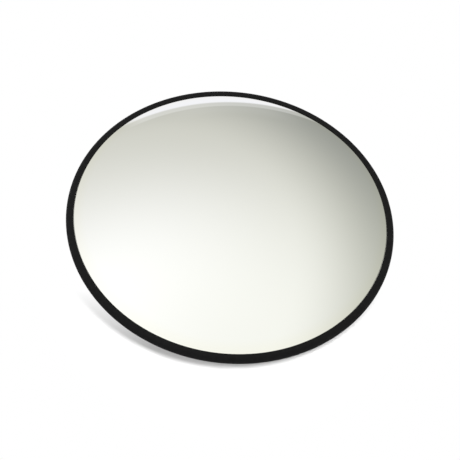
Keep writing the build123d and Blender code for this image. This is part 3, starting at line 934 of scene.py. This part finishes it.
def make_floor():
    """A pale floor that fades far from the mirror into a white glow of its own, painted light that
    meets the white background.
    """
    bpy.ops.mesh.primitive_plane_add(size=60, location=(0, 0, FLOOR_HEIGHT))
    floor = bpy.context.object
    floor.name = "studio_floor"
    paint = Paint("studio_floor", (0.86, 0.86, 0.855), 0.0, 0.9)
    far = paint.tree.nodes.new("ShaderNodeVectorMath")
    far.operation = "LENGTH"
    paint.link(paint.place, far.inputs[0])
    # Painted light: far from the mirror the floor glows plain white by its own light.
    glow = paint.tree.nodes.new("ShaderNodeEmission")
    glow.inputs["Color"].default_value = (1, 1, 1, 1)
    fade = paint.tree.nodes.new("ShaderNodeMixShader")
    paint.link(paint.ramp(far.outputs["Value"], 0.5, 5.0), fade.inputs[0])
    paint.link(paint.shader.outputs[0], fade.inputs[1])
    paint.link(glow.outputs[0], fade.inputs[2])
    paint.link(fade.outputs[0], paint.tree.nodes["Material Output"].inputs["Surface"])
    floor.data.materials.append(paint.material)
    floor.visible_glossy = False


def make_card(camera):
    """A white card square to the camera, beyond the mirror. Only its lower part is grey and takes the
    mirror's real shadow; upwards and towards its edge it glows white by its own light, painted light
    that fades the shadow out.
    """
    bpy.ops.mesh.primitive_circle_add(vertices=96, radius=CARD_RADIUS, fill_type="NGON")
    card = bpy.context.object
    card.name = "studio_card"
    forward = camera.rotation_quaternion @ Vector((0, 0, -1))
    card.location = camera.location + forward * (CAMERA_DISTANCE + CARD_DISTANCE)
    card.rotation_mode = "QUATERNION"
    card.rotation_quaternion = camera.rotation_quaternion
    paint = Paint("studio_card", (0.41, 0.41, 0.41), 0.0, 1.0, Specular_IOR_Level=0.0)
    split = paint.tree.nodes.new("ShaderNodeSeparateXYZ")
    paint.link(paint.place, split.inputs[0])
    far = paint.tree.nodes.new("ShaderNodeVectorMath")
    far.operation = "LENGTH"
    paint.link(paint.place, far.inputs[0])
    # Painted light: above this band and near the card's edge the card glows white by its own light,
    # which fades the mirror's shadow out.
    lower = paint.ramp(split.outputs["Y"], SHADE_FULL, SHADE_NONE, smooth_step=False)
    outer = paint.ramp(far.outputs["Value"], 0.8 * CARD_RADIUS, 0.95 * CARD_RADIUS)
    glow = paint.tree.nodes.new("ShaderNodeEmission")
    glow.inputs["Color"].default_value = (1, 1, 1, 1)
    fade = paint.tree.nodes.new("ShaderNodeMixShader")
    paint.link(paint.math("MAXIMUM", lower, outer), fade.inputs[0])
    paint.link(paint.shader.outputs[0], fade.inputs[1])
    paint.link(glow.outputs[0], fade.inputs[2])
    paint.link(fade.outputs[0], paint.tree.nodes["Material Output"].inputs["Surface"])
    card.data.materials.append(paint.material)
    card.visible_glossy = False
    card.visible_diffuse = False
    return card


class Sky:
    """The studio seen by reflections: a short call for each node that it needs."""

    def __init__(self):
        world = bpy.data.worlds.new("studio")
        bpy.context.scene.world = world
        world.use_nodes = True
        self.tree = world.node_tree
        self.tree.nodes.clear()
        self.direction = self.tree.nodes.new("ShaderNodeTexCoord").outputs["Generated"]

    def link(self, source, target):
        self.tree.links.new(source, target)

    def put(self, socket, value):
        if isinstance(value, tuple):
            socket.default_value = (*value, 1)
        elif isinstance(value, (int, float)):
            socket.default_value = value
        else:
            self.link(value, socket)

    def towards(self, azimuth, elevation):
        """The cosine between a ray and a heading given in degrees."""
        node = self.tree.nodes.new("ShaderNodeVectorMath")
        node.operation = "DOT_PRODUCT"
        node.inputs[1].default_value = heading(math.radians(azimuth), math.radians(elevation))
        self.link(self.direction, node.inputs[0])
        return node.outputs["Value"]

    def step(self, source, low, high, top=1.0):
        """0 below low, top above high, smooth between."""
        node = self.tree.nodes.new("ShaderNodeMapRange")
        node.interpolation_type = "SMOOTHSTEP"
        node.inputs["From Min"].default_value = low
        node.inputs["From Max"].default_value = high
        node.inputs["To Max"].default_value = top
        self.link(source, node.inputs["Value"])
        return node.outputs["Result"]

    def math(self, kind, first, second):
        node = self.tree.nodes.new("ShaderNodeMath")
        node.operation = kind
        self.put(node.inputs[0], first)
        self.put(node.inputs[1], second)
        return node.outputs[0]

    def mix(self, factor, first, second):
        node = self.tree.nodes.new("ShaderNodeMix")
        node.data_type = "RGBA"
        self.put(node.inputs["Factor"], factor)
        self.put(node.inputs["A"], first)
        self.put(node.inputs["B"], second)
        return node.outputs["Result"]

    def background(self, colour, strength=1.0):
        node = self.tree.nodes.new("ShaderNodeBackground")
        self.put(node.inputs["Color"], colour)
        node.inputs["Strength"].default_value = strength
        return node.outputs[0]

    def choose(self, factor, first, second):
        node = self.tree.nodes.new("ShaderNodeMixShader")
        self.link(factor, node.inputs[0])
        self.link(first, node.inputs[1])
        self.link(second, node.inputs[2])
        return node.outputs[0]


# Bright windows in the grey half of the studio behind the wall, for the bracket's metal to show.
WINDOWS = (
    ((225, 40), (0.82, 0.97)),
    ((128, 12), (0.90, 0.985)),
    ((180, -35), (0.93, 0.99)),
)
WINDOW_WHITE = (1.35, 1.35, 1.33)


def make_shades(sky):
    """A white studio that turns greyer to the right, in wide and soft steps."""
    upper_right = sky.step(sky.towards(145, 65), -0.55, 0.85)
    colour = sky.mix(upper_right, (1.12, 1.12, 1.11), (0.65, 0.65, 0.59))
    far_right = sky.step(sky.towards(145, -5), -0.5, 0.25)
    colour = sky.mix(far_right, colour, (0.33, 0.34, 0.31))
    low_right = sky.step(sky.towards(50, -35), -0.3, 1.1, 0.5)
    return sky.mix(low_right, colour, (0.80, 0.81, 0.70))


def add_table(sky, colour, beyond):
    """A white table edge beyond the wall, slightly bent, with a paler band in front of it."""
    along = sky.towards(-77.2, 0)
    beside = sky.math("SUBTRACT", along, 0.05)
    bend = sky.math("MULTIPLY", sky.math("MULTIPLY", beside, beside), 0.23)
    table = sky.math("SUBTRACT", beyond, bend)
    middle = sky.math("SUBTRACT", sky.step(along, -0.34, -0.16), sky.step(along, 0.08, 0.26))
    glow = sky.math("MULTIPLY", sky.step(beyond, -0.22, -0.09, 0.10), middle)
    colour = sky.mix(glow, colour, (1.0, 1.0, 0.98))
    left_end = sky.math("SUBTRACT", 1, sky.step(along, 0.28, 0.40))
    band = sky.math("MULTIPLY", sky.step(table, -0.088, -0.070, 0.26), left_end)
    colour = sky.mix(band, colour, (1.0, 1.0, 0.99))
    edge = sky.math("MULTIPLY", sky.step(table, -0.036, -0.010), left_end)
    return sky.mix(edge, colour, (0.945, 0.945, 0.98))


def make_world():
    """The studio that reflections show; the camera itself sees plain white."""
    sky = Sky()
    beyond = sky.towards(192.8, -1.3)
    colour = add_table(sky, make_shades(sky), beyond)
    left_wall = sky.step(sky.towards(-95, 0), 0.742, 0.95, 0.8)
    colour = sky.mix(left_wall, colour, (0.24, 0.245, 0.255))
    floor = sky.step(sky.towards(0, -90), 0.52, 0.95, 0.35)
    colour = sky.mix(floor, colour, (0.40, 0.40, 0.39))
    behind = sky.step(beyond, 0.30, 0.75, 0.85)
    colour = sky.mix(behind, colour, (0.30, 0.305, 0.31))
    for direction, (low, high) in WINDOWS:
        colour = sky.mix(sky.step(sky.towards(*direction), low, high), colour, WINDOW_WHITE)

    rays = sky.tree.nodes.new("ShaderNodeLightPath").outputs
    reflected = sky.background(colour)
    ambient = sky.background((1.0, 1.0, 1.0), 0.45)
    plain = sky.background((1.0, 1.0, 1.0), 1.0)
    lit = sky.choose(rays["Is Diffuse Ray"], reflected, ambient)
    output = sky.tree.nodes.new("ShaderNodeOutputWorld")
    sky.link(sky.choose(rays["Is Camera Ray"], lit, plain), output.inputs["Surface"])


def soft_light(name, place, aim, size, power):
    """A round soft light that mirrors and metals don't show as a shape."""
    light = bpy.data.lights.new(name, "AREA")
    light.shape = "DISK"
    light.size = size
    light.energy = power
    lamp = bpy.data.objects.new(name, light)
    bpy.context.scene.collection.objects.link(lamp)
    lamp.location = place
    lamp.rotation_mode = "QUATERNION"
    lamp.rotation_quaternion = (Vector(aim) - Vector(place)).to_track_quat("-Z", "Y")
    lamp.visible_glossy = False
    return lamp


def make_card_light(camera, card):
    """A small lamp just in front of the lens that lights the card alone; the mirror shades it."""
    turn = camera.rotation_quaternion
    place = camera.location + turn @ CARD_LIGHT_OFFSET
    aim = place + turn @ Vector((0, 0, -1))
    lamp = soft_light("card_light", place, aim, CARD_LIGHT_SIZE, CARD_LIGHT_POWER)
    lamp.visible_camera = False
    only_card = bpy.data.collections.new("card_light_targets")
    only_card.objects.link(card)
    lamp.light_linking.receiver_collection = only_card


camera = make_camera()
make_floor()
card = make_card(camera)
make_world()
make_card_light(camera, card)
for name, place, size, power in LAMPS:
    soft_light(name, place, LAMP_AIM, size, power)

scene = bpy.context.scene
scene.view_settings.view_transform = "Standard"
scene.view_settings.look = "None"
